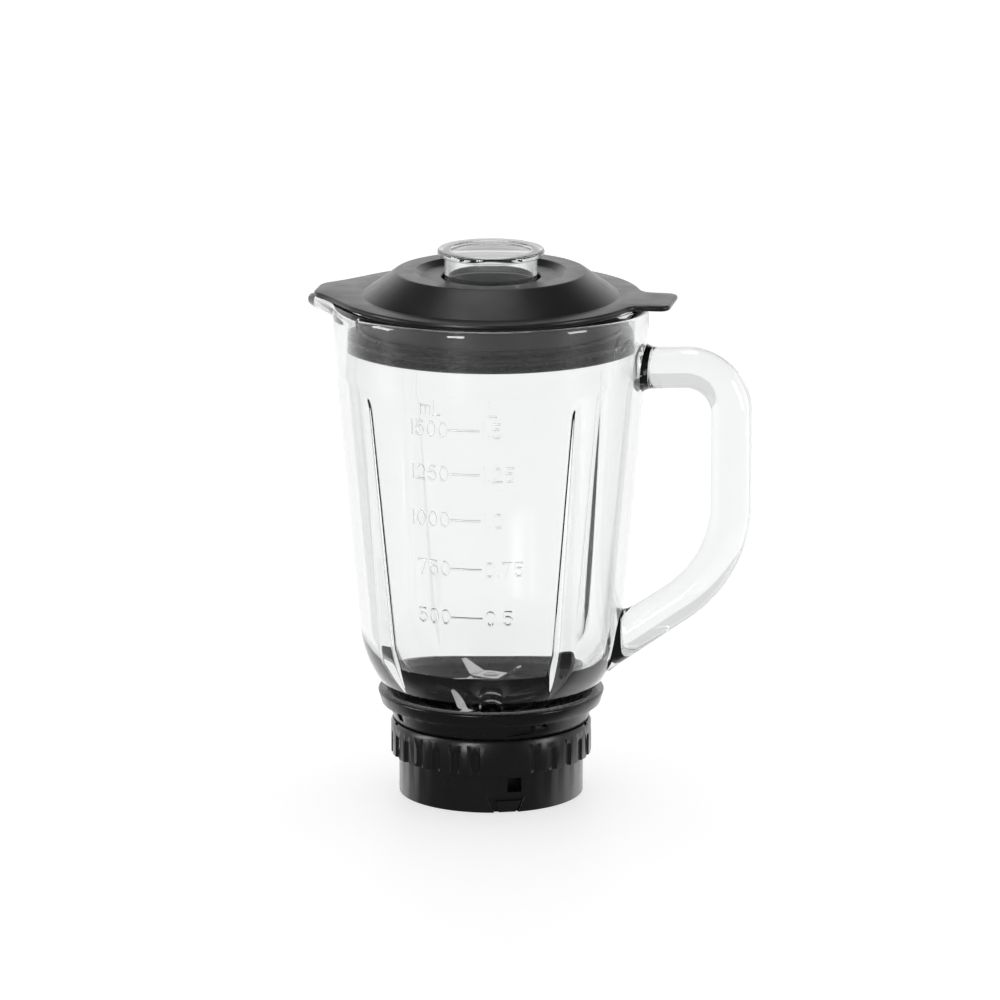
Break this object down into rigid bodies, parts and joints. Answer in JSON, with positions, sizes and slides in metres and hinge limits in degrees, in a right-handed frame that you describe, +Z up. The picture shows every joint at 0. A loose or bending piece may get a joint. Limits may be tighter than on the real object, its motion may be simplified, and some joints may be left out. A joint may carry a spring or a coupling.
{
  "type": "countertop blender jug assembly",
  "caption": "Glass blender jug with handle and pouring spout, plug-in lid with measuring cap, and a screw-on collar carrying spinning blades.",
  "frame": {"origin": "on the jug's axis, at the bottom edge of the screw collar that it stands on", "axes": "+Z up along the axis, +X towards the handle, -X towards the pouring spout, -Y towards the graduated side"},
  "size_m": [0.2051, 0.144, 0.2538],
  "materials": {
    "collar_plastic": "satin moulded black plastic",
    "carrier_plastic": "glossy moulded black plastic",
    "sleeve_steel": "turned stainless steel",
    "seal_rubber": "matt black rubber",
    "spacer_aluminium": "turned",
    "bush_bronze": "sintered bronze",
    "spring_steel": "black spring steel",
    "jug_seal_rubber": "grey silicone",
    "jug_glass": "clear pressed glass",
    "ring_plastic": "satin moulded black plastic",
    "lid_plastic": "fine-grained dark grey plastic",
    "lid_seal_rubber": "black silicone",
    "clear_plastic": "clear moulded plastic",
    "shaft_steel": "ground steel",
    "blade_steel": "polished stainless steel with ground edges",
    "spacer_plastic": "black nylon",
    "washer_steel": "stainless steel",
    "coupling_plastic": "black glass-filled nylon",
    "insert_brass": "turned brass"
  },
  "bodies": {
    "base": {"screw_collar": "collar_plastic", "blade_carrier": "carrier_plastic", "bearing_sleeve": "sleeve_steel", "shaft_seals": "seal_rubber", "bearing_spacer": "spacer_aluminium", "lower_bearing": "bush_bronze", "bearing_circlip": "spring_steel"},
    "seal": {"jug_seal": "jug_seal_rubber"},
    "jug": {"glass_jug": "jug_glass", "jug_ring": "ring_plastic"},
    "lid": {"lid_cover": "lid_plastic", "lid_seal": "lid_seal_rubber"},
    "cap": {"measuring_cap": "clear_plastic"},
    "blades": {"drive_shaft": "shaft_steel", "upper_blade": "blade_steel", "lower_blade": "blade_steel", "blade_spacer": "spacer_plastic", "drive_coupling": "coupling_plastic", "coupling_insert": "insert_brass", "thrust_washer": "washer_steel"}
  },
  "joints": [
    {"name": "blade_spin", "type": "hinge", "parent": "base", "child": "blades", "pos_m": [0, 0, 0.04], "axis": [0, 0, 1], "continuous": true},
    {"name": "jug_turn", "type": "hinge", "parent": "base", "child": "seal", "pos_m": [0, 0, 0.0213], "axis": [0, 0, 1], "range_deg": [-30, 0]},
    {"name": "jug_lift", "type": "slide", "parent": "seal", "child": "jug", "axis": [0, 0, 1], "range_m": [0, 0.055]},
    {"name": "lid_lift", "type": "slide", "parent": "jug", "child": "lid", "axis": [0, 0, 1], "range_m": [0, 0.066]},
    {"name": "cap_lift", "type": "slide", "parent": "lid", "child": "cap", "axis": [0, 0, 1], "range_m": [0, 0.05]}
  ]
}
